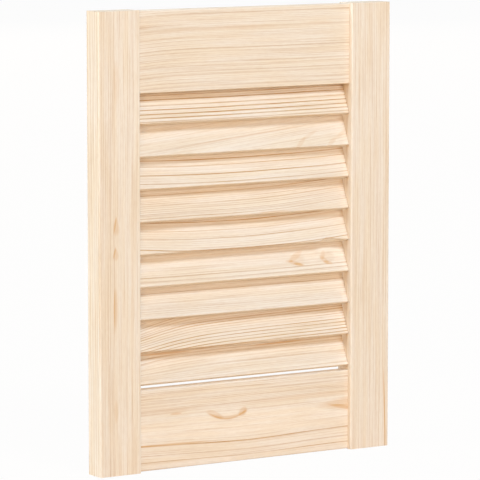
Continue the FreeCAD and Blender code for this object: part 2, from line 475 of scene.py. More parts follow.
    def field_group(self) -> bpy.types.NodeTree:
        """Makes the group that measures how far a point is from the tree's wandering centre.

        Returns:
            The group.
        """
        bench, given = new_group(
            Grain.FIELD.value, "ShaderNodeTree",
            {"Position": "Vector", "Pith": "Vector", "Lean": "Float", "Bow": "Float", "Wobble": "Float",
             "Seed": "Float", "Push": "Float"},
            {"Radius": "Float", "Fibres": "Vector"})
        wander = self.wander.noise(bench, given["Position"], given["Seed"]).outputs["Color"]
        wander = bench.scale(bench.vector("SUBTRACT", wander, NOISE_MEAN),
                             bench.math("DIVIDE", given["Wobble"], NOISE_SWING))
        along = bench.axes(given["Position"])["X"]
        reach = bench.math("DIVIDE", along, BOW_REACH)
        sag = bench.math("MULTIPLY", bench.math("MULTIPLY", reach, reach), given["Bow"])
        sag = bench.math("MULTIPLY_ADD", along, given["Lean"], sag)
        straight = bench.vector("ADD", given["Position"], wander)
        straight = bench.vector("SUBTRACT", straight, bench.join(Y=sag))
        # The rings run along the board, so only the other two directions count
        spoke = bench.axes(bench.vector("SUBTRACT", straight, given["Pith"]))
        radius = bench.math("SQRT", bench.math(
            "MULTIPLY_ADD", spoke["Y"], spoke["Y"], bench.math("MULTIPLY", spoke["Z"], spoke["Z"])))
        bench.add("NodeGroupOutput", {
            "Radius": bench.math("ADD", radius, given["Push"]),
            "Fibres": bench.vector("ADD", straight, bench.join(Y=given["Push"]))})
        return bench.tree

    def year_group(self) -> bpy.types.NodeTree:
        """Makes the group that adds one year's dark line, which builds up slowly and ends sharply.

        Returns:
            The group.
        """
        bench, given = new_group(
            Grain.YEAR.value, "ShaderNodeTree",
            {"Radius": "Float", "At": "Float", "Late": "Float", "Strength": "Float", "Before": "Float"},
            {"Lines": "Float"})
        past = bench.math("SUBTRACT", given["Radius"], given["At"])
        rise = bench.ramp(past, bench.math("MULTIPLY", given["Late"], -1.0), 0.0)
        line = bench.math("MULTIPLY", rise, bench.ramp(past, 0.0, self.edge, 1.0, 0.0))
        line = bench.math("MULTIPLY", line, given["Strength"])
        bench.add("NodeGroupOutput", {"Lines": bench.math("MAXIMUM", line, given["Before"])})
        return bench.tree

    def faint_rings(self, bench: Bench, radius: Value, ring: Value, seed: Value) -> bpy.types.NodeSocket:
        """Draws the faint rings, which good and bad years make wider and narrower, darker and paler.

        Args:
            bench: The tree to work in.
            radius: How far the point is from the tree's centre, mm.
            ring: Mean width of a ring, mm.
            seed: The board's seed.

        Returns:
            The socket with how dark the rings are, 0 to 1.
        """
        years = bench.math("DIVIDE", radius, ring)
        luck = bench.math("MULTIPLY_ADD", years, self.weather, seed)
        luck = bench.add("ShaderNodeTexNoise", {"W": luck, "Scale": 1.0}, noise_dimensions="1D").outputs[0]
        years = bench.math("ADD", years, luck)
        season = bench.math("FRACT", years)
        dark = bench.math("MULTIPLY", bench.ramp(season, self.spring_end, self.summer_end),
                          bench.ramp(season, self.summer_end, 1.0, 1.0, 0.0))
        year = bench.math("ADD", bench.math("FLOOR", years), seed)
        vigour = bench.add("ShaderNodeTexWhiteNoise", {"W": year}, noise_dimensions="1D").outputs["Value"]
        vigour = bench.math("MULTIPLY_ADD", vigour, 1.0 - self.poor_year, self.poor_year)
        return bench.math("MULTIPLY", dark, vigour)

    def wood_group(self) -> bpy.types.NodeTree:
        """Makes the group that paints the wood from its lines, stains, faint rings and fibres.

        Returns:
            The group.
        """
        bench, given = new_group(
            Grain.WOOD.value, "ShaderNodeTree",
            {"Fibres": "Vector", "Radius": "Float", "Lines": "Float", "Stain": "Float", "Ring": "Float",
             "Contrast": "Float", "Seed": "Float", "Tone": "Float"},
            {"Colour": "Color", "Roughness": "Float", "Height": "Float"})
        fibres, radius, seed = given["Fibres"], given["Radius"], given["Seed"]

        # The dark growth: every line is fainter in some stretches
        faint = self.faint_rings(bench, radius, given["Ring"], seed)
        faint = bench.math("MULTIPLY", faint, given["Contrast"])
        ringwise = bench.join(X=bench.axes(fibres)["X"], Y=radius)
        patches = self.patches.effect_of(bench, self.patches.noise(bench, ringwise, seed))
        late = bench.math("MULTIPLY", bench.math("MAXIMUM", given["Lines"], faint), patches)

        # The fibres: yellower stretches, soft streaks, thin dark hairs and a fine nap
        warmth, streaks, hairs = (
            layer.effect_of(bench, layer.noise(bench, fibres, seed))
            for layer in (self.warmth, self.streaks, self.hairs))
        nap = self.nap.noise(bench, fibres, seed)

        colour = bench.blend(warmth, (*self.early, 1.0), (*self.yellow, 1.0))
        shade = bench.math("ADD", bench.math("ADD", hairs, streaks), self.nap.effect_of(bench, nap))
        shade = bench.math("ADD", shade, late, clamp=True)
        colour = bench.blend(shade, colour, (*self.late, 1.0))
        stained = bench.math("MAXIMUM", given["Stain"], 0.0, clamp=True)
        colour = bench.blend(stained, colour, (*self.resin, 1.0))
        pale = bench.math("MINIMUM", given["Stain"], 0.0)
        colour = bench.scale(colour, bench.math("SUBTRACT", given["Tone"], pale))
        rough = bench.math("MULTIPLY_ADD", late, -self.late_polish, self.roughness)
        rough = bench.math("MULTIPLY_ADD", nap.outputs[0], self.nap_roughness, rough)
        height = bench.math("MULTIPLY", late, self.late_relief)
        height = bench.math("MULTIPLY_ADD", nap.outputs[0], self.nap_relief, height)
        bench.add("NodeGroupOutput", {"Colour": colour, "Roughness": rough, "Height": height})
        return bench.tree

    def group(self, part: Grain) -> bpy.types.NodeTree:
        """Finds one of the finish's groups, which is made the first time.

        Args:
            part: Which group it is.

        Returns:
            The group.
        """
        makers = {
            Grain.SWIRL: self.swirl_group, Grain.FLECK: self.fleck_group, Grain.FIELD: self.field_group,
            Grain.YEAR: self.year_group, Grain.WOOD: self.wood_group}
        return bpy.data.node_groups.get(part.value) or makers[part]()

    def push(self, bench: Bench, board: PineBoard, at: Value) -> Value:
        """Adds up how far a board's swirls push its rings.

        Args:
            bench: The tree to work in.
            board: How the board was cut.
            at: The position in the board's own axes, mm.

        Returns:
            The push, mm.
        """
        push: Value = 0.0
        for swirl in board.swirls:
            push = bench.add("ShaderNodeGroup", {
                "Position": at, "Centre": (swirl.along, swirl.across, board.outward),
                "Reach": (swirl.length, swirl.height, self.swirl_depth), "Push": swirl.push,
                "Before": push}, node_tree=self.group(Grain.SWIRL)).outputs[0]
        return push

    def lines(self, bench: Bench, board: PineBoard, radius: Value) -> Value:
        """Draws a board's strong dark lines.

        Args:
            bench: The tree to work in.
            board: How the board was cut.
            radius: How far the point is from the tree's centre, mm.

        Returns:
            How dark the lines are, 0 to 1.
        """
        lines: Value = 0.0
        for year in board.years:
            lines = bench.add("ShaderNodeGroup", {
                "Radius": radius, "At": board.radius(year), "Late": year.late, "Strength": year.strength,
                "Before": lines}, node_tree=self.group(Grain.YEAR)).outputs[0]
        return lines

    def stain(self, bench: Bench, board: PineBoard, at: Value) -> Value:
        """Adds up a board's flecks.

        Args:
            bench: The tree to work in.
            board: How the board was cut.
            at: The position in the board's own axes, mm.

        Returns:
            How dark the stain is, or how pale where it is below 0.
        """
        stain: Value = 0.0
        for fleck in board.flecks:
            stain = bench.add("ShaderNodeGroup", {
                "Position": at, "Centre": (fleck.along, fleck.across, board.outward),
                "Reach": (fleck.length, fleck.height, self.fleck_depth), "Tilt": math.radians(fleck.tilt),
                "Taper": fleck.taper, "Curl": fleck.curl, "Stain": fleck.stain, "Before": stain},
                node_tree=self.group(Grain.FLECK)).outputs[0]
        return stain

    def material(self, board: PineBoard) -> bpy.types.Material:
        """Makes the material of one board.

        Args:
            board: How the board was cut.

        Returns:
            The material.
        """
        made = bpy.data.materials.new(f"pine_{board.name}")
        made.use_nodes = True
        bench = Bench(made.node_tree)
        at = bench.add("ShaderNodeMapping", {
            "Vector": bench.add("ShaderNodeTexCoord").outputs["Object"], "Location": board.middle,
            "Rotation": tuple(math.radians(angle) for angle in board.lay.value), "Scale": (MM,) * 3},
            vector_type="TEXTURE").outputs[0]
        field = bench.add("ShaderNodeGroup", {
            "Position": at, "Pith": (0.0, *board.pith), "Lean": board.lean, "Bow": board.bow,
            "Wobble": board.wobble, "Seed": board.seed, "Push": self.push(bench, board, at)},
            node_tree=self.group(Grain.FIELD)).outputs
        wood = bench.add("ShaderNodeGroup", {
            "Fibres": field["Fibres"], "Radius": field["Radius"],
            "Lines": self.lines(bench, board, field["Radius"]), "Stain": self.stain(bench, board, at),
            "Ring": board.ring, "Contrast": board.contrast, "Seed": board.seed, "Tone": board.tone},
            node_tree=self.group(Grain.WOOD)).outputs
        bump = bench.add("ShaderNodeBump", {
            "Strength": self.bump, "Distance": self.relief, "Height": wood["Height"]}).outputs["Normal"]
        surface = made.node_tree.nodes["Principled BSDF"].inputs
        bench.feed(surface["Base Color"], wood["Colour"])
        bench.feed(surface["Roughness"], wood["Roughness"])
        bench.feed(surface["Normal"], bump)
        bench.feed(surface["Specular IOR Level"], self.specular)
        return made


@dataclass(frozen=True)
class BeechFinish:
    """Turned beech of the dowels: even pinkish brown with short dark flecks.

    Attributes:
        wood: Colour of the wood.
        fleck: Colour of the flecks.
        flecks: How the flecks lie.
        fibres: How the fibres lie.
        roughness: Roughness of the wood.
        fibre_roughness: How much rougher the fibres are.
        relief: How far the fibres stand proud, m.
        bump: Strength of the relief.
        seed: Which pattern the wood has.
    """

    wood: Place = (0.62, 0.40, 0.25)
    fleck: Place = (0.36, 0.20, 0.11)
    flecks: Layer = Layer((0.35, 1.80, 1.80), 1.0, 2.0, (0.58, 0.72), (0.0, 0.6))
    fibres: Layer = Layer((0.06, 2.50, 2.50), 3.0, 4.0)
    roughness: float = 0.55
    fibre_roughness: float = 0.12
    relief: float = 0.05 * MM
    bump: float = 0.5
    seed: float = 0.0

    def material(self) -> bpy.types.Material:
        """Makes the dowels' material.

        Returns:
            The material.
        """
        made = bpy.data.materials.new("beech_dowel")
        made.use_nodes = True
        bench = Bench(made.node_tree)
        at = bench.vector("DIVIDE", bench.add("ShaderNodeTexCoord").outputs["Object"], (MM,) * 3)
        flecks = self.flecks.effect_of(bench, self.flecks.noise(bench, at, self.seed))
        fibres = self.fibres.noise(bench, at, self.seed).outputs[0]
        colour = bench.blend(flecks, (*self.wood, 1.0), (*self.fleck, 1.0))
        rough = bench.math("MULTIPLY_ADD", fibres, self.fibre_roughness, self.roughness)
        bump = bench.add("ShaderNodeBump", {
            "Strength": self.bump, "Distance": self.relief, "Height": fibres}).outputs["Normal"]
        surface = made.node_tree.nodes["Principled BSDF"].inputs
        bench.feed(surface["Base Color"], colour)
        bench.feed(surface["Roughness"], rough)
        bench.feed(surface["Normal"], bump)
        return made


def middle_of(node: str) -> Place:
    """Finds the middle of a piece of the frame.

    Args:
        node: The piece's name.

    Returns:
        The middle of its box, m.
    """
    low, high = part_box(node)
    return tuple((low + high) / 2)


def give_material(piece: bpy.types.Object, material: bpy.types.Material) -> None:
    """Gives a piece of the frame one material all over.

    Args:
        piece: The piece.
        material: Its material.
    """
    piece.data.materials.clear()
    piece.data.materials.append(material)


@dataclass
class DoorFrame:
    """The two stiles and two rails, as they come from the frame, with a board's grain on each.

    Attributes:
        pine: The finish that they share.
        stile_pith: The tree's centre in a stile, across and out of the face, mm.
        rail_pith: The tree's centre in a rail, across and out of the face, mm.
    """

    pine: PineFinish
    stile_pith: Pair = (-60.0, -30.0)
    rail_pith: Pair = (-90.0, -20.0)

    def board(self, name: str, lay: Lay, seed: float, **cut: object) -> PineBoard:
        """Describes one board, whose middle and thickness come from the frame.

        Args:
            name: The board's name.
            lay: How it lies in the door.
            seed: Which pattern of fibres it has.
            **cut: How it was cut from its tree.

        Returns:
            The board.
        """
        low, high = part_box(name)
        pith = self.stile_pith if lay is Lay.UPRIGHT else self.rail_pith
        return PineBoard(name, lay, middle_of(name), (high.y - low.y) / 2 / MM, seed, pith, **cut)

    def boards(self) -> list[PineBoard]:
        """Lists how the four boards were cut.

        Returns:
            The boards, each named for its piece.
        """
        return [
            # Fine rings crowd the outer half, with small knots beside them
            self.board(
                "left_stile", Lay.UPRIGHT, 1.0, lean=-0.004, ring=1.5, contrast=0.14,
                years=(
                    *(Year(8.1 + 1.6 * number, 0.24, 0.8) for number in range(8)), Year(9.7, 0.38),
                    Year(6.2, 0.35), Year(0.2, 0.18), Year(-7.0, 0.18), Year(-11.8, 0.20),
                    Year(-16.4, 0.12)),
                flecks=(
                    Fleck(-54.0, 4.7, 21.0, 2.4, 0.34), Fleck(-55.0, 5.9, 24.0, 0.8, 0.35),
                    Fleck(-7.5, 4.3, 6.5, 3.0, 0.34, taper=0.6),
                    Fleck(-6.0, 5.4, 6.5, 1.0, 0.40, tilt=-14.0),
                    Fleck(16.5, 3.9, 9.5, 3.2, 0.32, taper=0.7),
                    Fleck(17.0, 4.9, 9.0, 1.0, 0.40, tilt=-10.0),
                    Fleck(-142.0, 4.5, 12.0, 2.4, 0.20), Fleck(137.0, 3.0, 22.0, 3.6, 0.16))),
            # Even and faint, with one dark streak at the foot
            self.board(
                "right_stile", Lay.UPRIGHT, 2.0, ring=1.6, contrast=0.16,
                years=(
                    Year(16.8, 0.14), Year(12.0, 0.14), Year(7.2, 0.18), Year(0.0, 0.17), Year(-3.0, 0.10),
                    Year(-6.0, 0.14), Year(-9.8, 0.15), Year(-13.6, 0.20), Year(-16.2, 0.30)),
                flecks=(Fleck(-165.0, -16.0, 45.0, 0.9, 0.70, tilt=2.0),)),
            # Nearly straight rings from edge to edge
            self.board(
                "top_rail", Lay.LEVEL, 3.0, ring=1.55, contrast=0.24,
                years=(
                    Year(31.3, 0.45), Year(27.0, 0.14), Year(19.0, 0.28, 1.6), Year(13.0, 0.16),
                    Year(10.6, 0.22), Year(5.2, 0.14), Year(1.1, 0.55), Year(-5.0, 0.16), Year(-6.6, 0.22),
                    Year(-10.6, 0.38), Year(-13.2, 0.26), Year(-18.2, 0.40), Year(-21.0, 0.20),
                    Year(-27.4, 0.22), Year(-30.5, 0.40), Year(-32.8, 0.14)),
                swirls=(Swirl(-125.0, 0.0, 35.0, 60.0, 2.5),),
                flecks=(
                    Fleck(-3.0, 18.3, 38.0, 2.6, 0.14), Fleck(76.0, 19.4, 17.0, 1.8, 0.16),
                    Fleck(-103.0, 21.0, 12.0, 3.0, 0.14))),
            # Close rings above, bold ones below, and a pale band between them with knots
            self.board(
                "bottom_rail", Lay.LEVEL, 4.0, ring=1.9, contrast=0.10, tone=1.02,
                years=(
                    *(Year(13.6 + 1.42 * number, 0.20) for number in range(15)), Year(30.3, 0.30),
                    Year(27.0, 0.36), Year(22.2, 0.30), Year(16.7, 0.38), Year(-14.6, 0.80, 1.6),
                    Year(-22.9, 0.50), Year(-28.2, 0.60), Year(-33.8, 0.20)),
                swirls=(Swirl(10.0, -18.0, 60.0, 16.0, 2.2), Swirl(-112.0, -14.0, 40.0, 14.0, -1.2)),
                flecks=(
                    Fleck(-17.5, 4.0, 25.0, 2.2, 0.38, curl=8.0),
                    Fleck(-17.5, 3.2, 22.0, 1.0, 0.28, curl=8.0),
                    Fleck(-31.0, 8.0, 11.0, 3.4, 0.32, tilt=-24.0),
                    Fleck(-2.5, 8.2, 6.0, 4.0, 0.40, tilt=40.0),
                    Fleck(-0.5, 7.6, 4.0, 2.6, 0.20, tilt=60.0),
                    Fleck(110.0, 5.6, 42.0, 8.0, 0.34, taper=-0.5),
                    Fleck(103.0, 2.6, 21.0, 2.0, 0.38, tilt=-12.0),
                    Fleck(102.0, 4.6, 16.0, 0.8, 0.25, tilt=-3.0), Fleck(-70.0, 12.2, 7.0, 1.2, 0.45),
                    Fleck(55.0, 16.0, 75.0, 2.8, 0.17), Fleck(-90.0, 15.5, 45.0, 4.2, 0.15),
                    Fleck(-85.0, -13.9, 60.0, 1.2, 0.55, tilt=-1.0), Fleck(0.0, -1.5, 150.0, 13.0, -0.04))),
        ]

    def dress(self) -> list[bpy.types.Object]:
        """Gives each stile and rail its material.

        Returns:
            The stiles and rails.
        """
        pieces = []
        for board in self.boards():
            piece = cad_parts[board.name]
            give_material(piece, self.pine.material(board))
            pieces.append(piece)
        return pieces


@dataclass
class Dowels:
    """The eight dowels inside the corners.

    Attributes:
        beech: The finish that they share.
    """

    beech: BeechFinish

    def dress(self) -> list[bpy.types.Object]:
        """Gives every dowel the same material.

        Returns:
            The dowels.
        """
        made = self.beech.material()
        pieces = [piece for name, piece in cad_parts.items() if name.startswith("dowel_")]
        for piece in pieces:
            give_material(piece, made)
        return pieces


@dataclass
class SlatRow:
    """The row of slanted slats, each with rounded arrises and its ends in the stiles' slots.

    Attributes:
        pine: The finish that the slats share.
        count: How many slats there are.
        width: Width of a slat, m.
        thickness: Thickness of a slat, m.
        arris: Radius of its four long arrises, m.
        tilt: How far the slats lean back from upright, radians.
        play: How far a slat may lean more or less than that, radians.
        arris_steps: How many faces round each arris.
        length_steps: How many rings of points along a slat.
        split_slat: The slat whose lower edge has split, counted from the top.
        split_start: Where the split begins, m from the door's middle.
        split_run: How far along it reaches its full depth, m.
        split_depth: How much wood it took, m.
        split_teeth: How many teeth its edge has to a metre.
        split_uneven: How much shallower or deeper the teeth are, as a share of the depth.
        seed: Which small differences the row has.
        grain_seed: What is added to a slat's number for its pattern of fibres.
    """

    pine: PineFinish
    count: int = 9
    width: float = 28.0 * MM
    thickness: float = 5.0 * MM
    arris: float = 0.5 * MM
    tilt: float = math.radians(SLAT_TILT)
    play: float = math.radians(0.3)
    arris_steps: int = 5
    length_steps: int = 140
    split_slat: int = 5
    split_start: float = 76.5 * MM
    split_run: float = 7.0 * MM
    split_depth: float = 2.4 * MM
    split_teeth: float = 350.0
    split_uneven: float = 0.2
    seed: int = 6
    grain_seed: float = 10.0

    def boards(self) -> list[PineBoard]:
        """Lists how the slats were cut, from the top down.

        Returns:
            The boards.
        """
        cuts: list[dict[str, object]] = [
            # Bold and nearly straight
            dict(
                lean=0.006, bow=0.3, contrast=0.20,
                years=(
                    Year(11.0, 0.80), Year(7.0, 1.00, 1.3), Year(2.0, 0.75, 1.2), Year(-1.9, 1.00, 1.2),
                    Year(-5.8, 1.00, 1.5), Year(-9.4, 0.90, 1.2), Year(-12.7, 0.70))),
            # Nearly plain, with slanting flecks to the right
            dict(
                lean=0.10, contrast=0.10, tone=0.985,
                years=(Year(-1.0, 0.22, 1.4),),
                flecks=(
                    Fleck(58.0, -10.0, 9.0, 2.6, 0.24, tilt=42.0),
                    Fleck(68.0, -3.5, 11.0, 2.0, 0.20, tilt=25.0),
                    Fleck(90.0, -10.5, 8.0, 2.4, 0.24, tilt=35.0),
                    Fleck(101.0, -4.0, 9.0, 2.0, 0.18, tilt=35.0),
                    Fleck(5.0, -0.5, 70.0, 1.4, 0.22, tilt=6.0))),
            # Rings that curve up at both ends
            dict(
                lean=0.002, bow=2.2, contrast=0.21,
                years=(
                    Year(9.3, 1.00), Year(3.8, 0.70), Year(0.0, 0.20), Year(-4.0, 0.90), Year(-8.0, 0.14),
                    Year(-11.4, 0.68))),
            # Many rings that rise towards the right end
            dict(
                contrast=0.55, ring=1.75,
                years=(
                    Year(9.0, 0.60), Year(4.5, 0.25), Year(-0.5, 0.60), Year(-4.2, 0.45), Year(-9.0, 0.40),
                    Year(-11.4, 0.60)),
                swirls=(Swirl(130.0, 0.0, 75.0, 40.0, -7.0),),
                flecks=(Fleck(30.0, -13.0, 20.0, 1.2, 0.35),)),
            # Rings that curve up more steeply
            dict(
                lean=0.004, bow=3.4, contrast=0.21,
                years=(
                    Year(11.0, 1.00), Year(8.0, 0.27), Year(3.2, 0.48), Year(-4.0, 0.68),
                    Year(-14.5, 0.80)),
                swirls=(Swirl(-105.0, -12.0, 30.0, 8.0, -1.5),)),
            # Plain above, with two curly knots to the right
            dict(
                lean=0.003, bow=0.8, contrast=0.25, ring=2.1,
                years=(Year(-6.8, 0.68), Year(-10.5, 0.54)),
                flecks=(
                    Fleck(55.5, 2.5, 11.0, 3.4, 0.26, tilt=32.0),
                    Fleck(54.0, -3.6, 9.0, 2.4, 0.30, tilt=-18.0),
                    Fleck(57.5, -4.9, 6.5, 1.7, 0.45, tilt=-12.0), Fleck(48.0, -1.2, 5.0, 1.5, 0.30),
                    Fleck(57.0, -0.5, 9.0, 5.5, 0.14), Fleck(83.5, 1.5, 6.5, 2.8, 0.24, tilt=60.0),
                    Fleck(84.5, -2.5, 6.5, 2.6, 0.30, tilt=-45.0),
                    Fleck(87.5, -5.2, 6.0, 2.0, 0.45, tilt=-12.0),
                    Fleck(89.0, 0.0, 8.0, 5.5, 0.14), Fleck(71.0, 0.0, 11.0, 6.0, -0.03),
                    Fleck(99.0, 0.0, 10.0, 6.0, -0.04))),
            # Faint and straight
            dict(
                contrast=0.36, ring=1.7, tone=0.985,
                years=(
                    Year(8.2, 0.54), Year(-0.4, 0.32), Year(-2.8, 0.16), Year(-5.0, 0.16),
                    Year(-7.5, 0.16))),
            # Close even rings that dip at the left end
            dict(
                lean=0.021, contrast=0.20, ring=2.0,
                years=(
                    *(Year(-13.4 + 2.85 * number, 0.88, 0.9) for number in range(5)),
                    *(Year(0.85 + 2.10 * number, 0.45, 0.8) for number in range(9)),
                    Year(7.5, 0.80), Year(9.6, 0.80)),
                swirls=(Swirl(-140.0, 5.0, 60.0, 40.0, 14.0),)),
            # Faint, with two dark streaks near the top
            dict(
                lean=0.012, contrast=0.28, ring=2.5,
                years=(
                    Year(11.3, 0.50), Year(8.8, 0.54), Year(3.2, 0.19), Year(-1.0, 0.45), Year(-3.5, 0.16),
                    Year(-6.0, 0.22), Year(-8.0, 0.27), Year(-12.0, 0.24)),
                swirls=(Swirl(-130.0, 0.0, 50.0, 10.0, 6.0),),
                flecks=(Fleck(-75.0, 11.5, 32.0, 1.2, 0.60), Fleck(40.0, 11.6, 34.0, 1.0, 0.70, tilt=1.0))),
        ]
        return [
            PineBoard(f"slat_{number}", Lay.SLANTED, middle_of(f"slat_{number}"), self.thickness / MM / 2,
                      self.grain_seed + number, **cut)
            for number, cut in enumerate(cuts, 1)
        ]

    def shape_slat(self, bench: Bench, given: bpy.types.NodeOutputs) -> bpy.types.NodeSocket:
        """Makes one slat, upright along X about its middle.

        Args:
            bench: The tree to work in.
            given: The tree's inputs.

        Returns:
            The socket with the slat.
        """
        outline = bench.add("GeometryNodeCurvePrimitiveQuadrilateral", {
            "Width": given["Thickness"], "Height": given["Width"]}).outputs[0]
        outline = bench.add("GeometryNodeFilletCurve", {
            "Curve": outline, "Radius": given["Arris"], "Count": given["Arris Steps"]},
            mode="POLY").outputs[0]
        half = bench.math("MULTIPLY", given["Length"], 0.5)
        start = bench.join(X=bench.math("MULTIPLY", half, -1.0))
        end = bench.join(X=half)
        line = bench.add("GeometryNodeCurvePrimitiveLine", {"Start": start, "End": end}).outputs[0]
        line = bench.add("GeometryNodeResampleCurve", {
            "Curve": line, "Count": given["Length Steps"]}).outputs[0]
        slat = bench.add("GeometryNodeCurveToMesh", {
            "Curve": line, "Profile Curve": outline, "Fill Caps": True}).outputs[0]
        return bench.add("GeometryNodeSetShadeSmooth", {"Geometry": slat}).outputs[0]

    def lay_row(self, bench: Bench, given: bpy.types.NodeOutputs,
                slat: bpy.types.NodeSocket) -> bpy.types.NodeSocket:
        """Lays out the row, each slat numbered and leaning a little more or less than the next.

        Args:
            bench: The tree to work in.
            given: The tree's inputs.
            slat: One slat.

        Returns:
            The socket with the row.
        """
        points = bench.add("GeometryNodeMeshLine", {
            "Count": given["Slats"], "Start Location": given["First"], "Offset": given["Last"]},
            mode="END_POINTS").outputs[0]
        # The sockets for plain numbers are inputs 2 and 3 and output 1
        lean = bench.add("FunctionNodeRandomValue", {"Seed": given["Seed"]}, data_type="FLOAT")
        bench.feed(lean.inputs[2], bench.math("MULTIPLY", given["Play"], -1.0))
        bench.feed(lean.inputs[3], given["Play"])
        turn = bench.join(X=bench.math("SUBTRACT", lean.outputs[1], given["Tilt"]))
        row = bench.add("GeometryNodeInstanceOnPoints", {
            "Points": points, "Instance": slat, "Rotation": turn}).outputs[0]
        number = bench.math("ADD", bench.add("GeometryNodeInputIndex").outputs[0], 1.0)
        row = bench.add("GeometryNodeStoreNamedAttribute", {
            "Geometry": row, "Name": "slat", "Value": number},
            data_type="FLOAT", domain="INSTANCE").outputs[0]
        return bench.add("GeometryNodeRealizeInstances", {"Geometry": row}).outputs[0]

    def split_edge(self, bench: Bench, given: bpy.types.NodeOutputs, row: bpy.types.NodeSocket,
                   which: bpy.types.NodeSocket) -> bpy.types.NodeSocket:
        """Splits one lower front edge, ragged and closing where the slat enters its slot.

        Args:
            bench: The tree to work in.
            given: The tree's inputs.
            row: The row of slats.
            which: The number of each point's slat.

        Returns:
            The socket with the row.
        """
        place = bench.add("GeometryNodeInputPosition").outputs[0]
        along = bench.axes(place)["X"]
        full = bench.math("ADD", given["Split Start"], given["Split Run"])
        opens = bench.ramp(along, given["Split Start"], full)
        closes = bench.ramp(along, full, given["Split Stop"], 1.0, 0.0)
        teeth = bench.add("ShaderNodeTexNoise", {"W": along, "Scale": given["Split Teeth"]},
                          noise_dimensions="1D").outputs[0]
        teeth = bench.ramp(teeth, *NOISE_SPAN, bench.math("SUBTRACT", 1.0, given["Split Uneven"]),
                           bench.math("ADD", 1.0, given["Split Uneven"]))
        deep = bench.math("MULTIPLY", bench.math("MULTIPLY", opens, closes), teeth)
        deep = bench.math("MULTIPLY", deep, given["Split Depth"])

        # The slat's own directions, up its face and out of it
        sine = bench.math("SINE", given["Tilt"])
        cosine = bench.math("COSINE", given["Tilt"])
        up = bench.join(Y=sine, Z=cosine)
        out = bench.join(Y=bench.math("MULTIPLY", cosine, -1.0), Z=sine)
        away = bench.vector("SUBTRACT", place, given["Split Middle"])
        lower = bench.math("LESS_THAN", bench.dot(away, up), 0.0)
        front = bench.math("GREATER_THAN", bench.dot(away, out), 0.0)
        mine = bench.math("COMPARE", which, given["Split Slat"], HALF_STEP)
        edge = bench.math("MULTIPLY", mine, bench.math("MULTIPLY", lower, front))
        return bench.add("GeometryNodeSetPosition", {
            "Geometry": row, "Selection": edge, "Offset": bench.scale(up, deep)}).outputs[0]

    def tree(self) -> bpy.types.NodeTree:
        """Makes the tree of nodes that lays out the row and gives each slat its own grain.

        Returns:
            The tree.
        """
        bench, given = new_group(
            "slat_row", "GeometryNodeTree",
            {"Slats": "Int", "Length": "Float", "Width": "Float", "Thickness": "Float", "Arris": "Float",
             "Tilt": "Float", "Play": "Float", "First": "Vector", "Last": "Vector", "Arris Steps": "Int",
             "Length Steps": "Int", "Split Slat": "Int", "Split Middle": "Vector", "Split Start": "Float",
             "Split Run": "Float", "Split Stop": "Float", "Split Depth": "Float", "Split Teeth": "Float",
             "Split Uneven": "Float", "Seed": "Int"},
            {"Geometry": "Geometry"})
        row = self.lay_row(bench, given, self.shape_slat(bench, given))
        which = bench.add("GeometryNodeInputNamedAttribute", {"Name": "slat"}, data_type="FLOAT").outputs[0]
        row = self.split_edge(bench, given, row, which)
        for number, board in enumerate(self.boards(), 1):
            mine = bench.math("COMPARE", which, float(number), HALF_STEP)
            row = bench.add("GeometryNodeSetMaterial", {
                "Geometry": row, "Selection": mine, "Material": self.pine.material(board)}).outputs[0]
        bench.add("NodeGroupOutput", {"Geometry": row})
        return bench.tree

    def build(self) -> bpy.types.Object:
        """Makes the row as one plain mesh that stands for the frame's slats.

        Returns:
            The row.
        """
        row = bpy.data.objects.new("slat_row", bpy.data.meshes.new("slat_row"))
        bpy.context.scene.collection.objects.link(row)
        maker = row.modifiers.new("slats", "NODES")
        tree = self.tree()
        low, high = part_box("slat_1")
        sizes = {
            "Slats": self.count, "Length": high.x - low.x, "Width": self.width, "Thickness": self.thickness,
            "Arris": self.arris, "Tilt": self.tilt, "Play": self.play, "First": middle_of("slat_1"),
            "Last": middle_of(f"slat_{self.count}"), "Arris Steps": self.arris_steps,
            "Length Steps": self.length_steps, "Split Slat": self.split_slat,
            "Split Middle": middle_of(f"slat_{self.split_slat}"), "Split Start": self.split_start,
            "Split Run": self.split_run, "Split Stop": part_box("right_stile")[0].x,
            "Split Depth": self.split_depth, "Split Teeth": self.split_teeth,
            "Split Uneven": self.split_uneven, "Seed": self.seed}
        maker.node_group = tree
        for item in tree.interface.items_tree:
            if item.in_out == "INPUT":
                maker[item.identifier] = sizes[item.name]
        # The broad faces stay flat beside the rounded arrises
        evener = row.modifiers.new("even_faces", "WEIGHTED_NORMAL")
        made = bpy.data.meshes.new_from_object(row.evaluated_get(bpy.context.evaluated_depsgraph_get()))
        row.modifiers.remove(evener)
        row.modifiers.remove(maker)
        row.data = made
        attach(row, BODY)
        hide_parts(*(f"slat_{number}" for number in range(1, self.count + 1)))
        return row


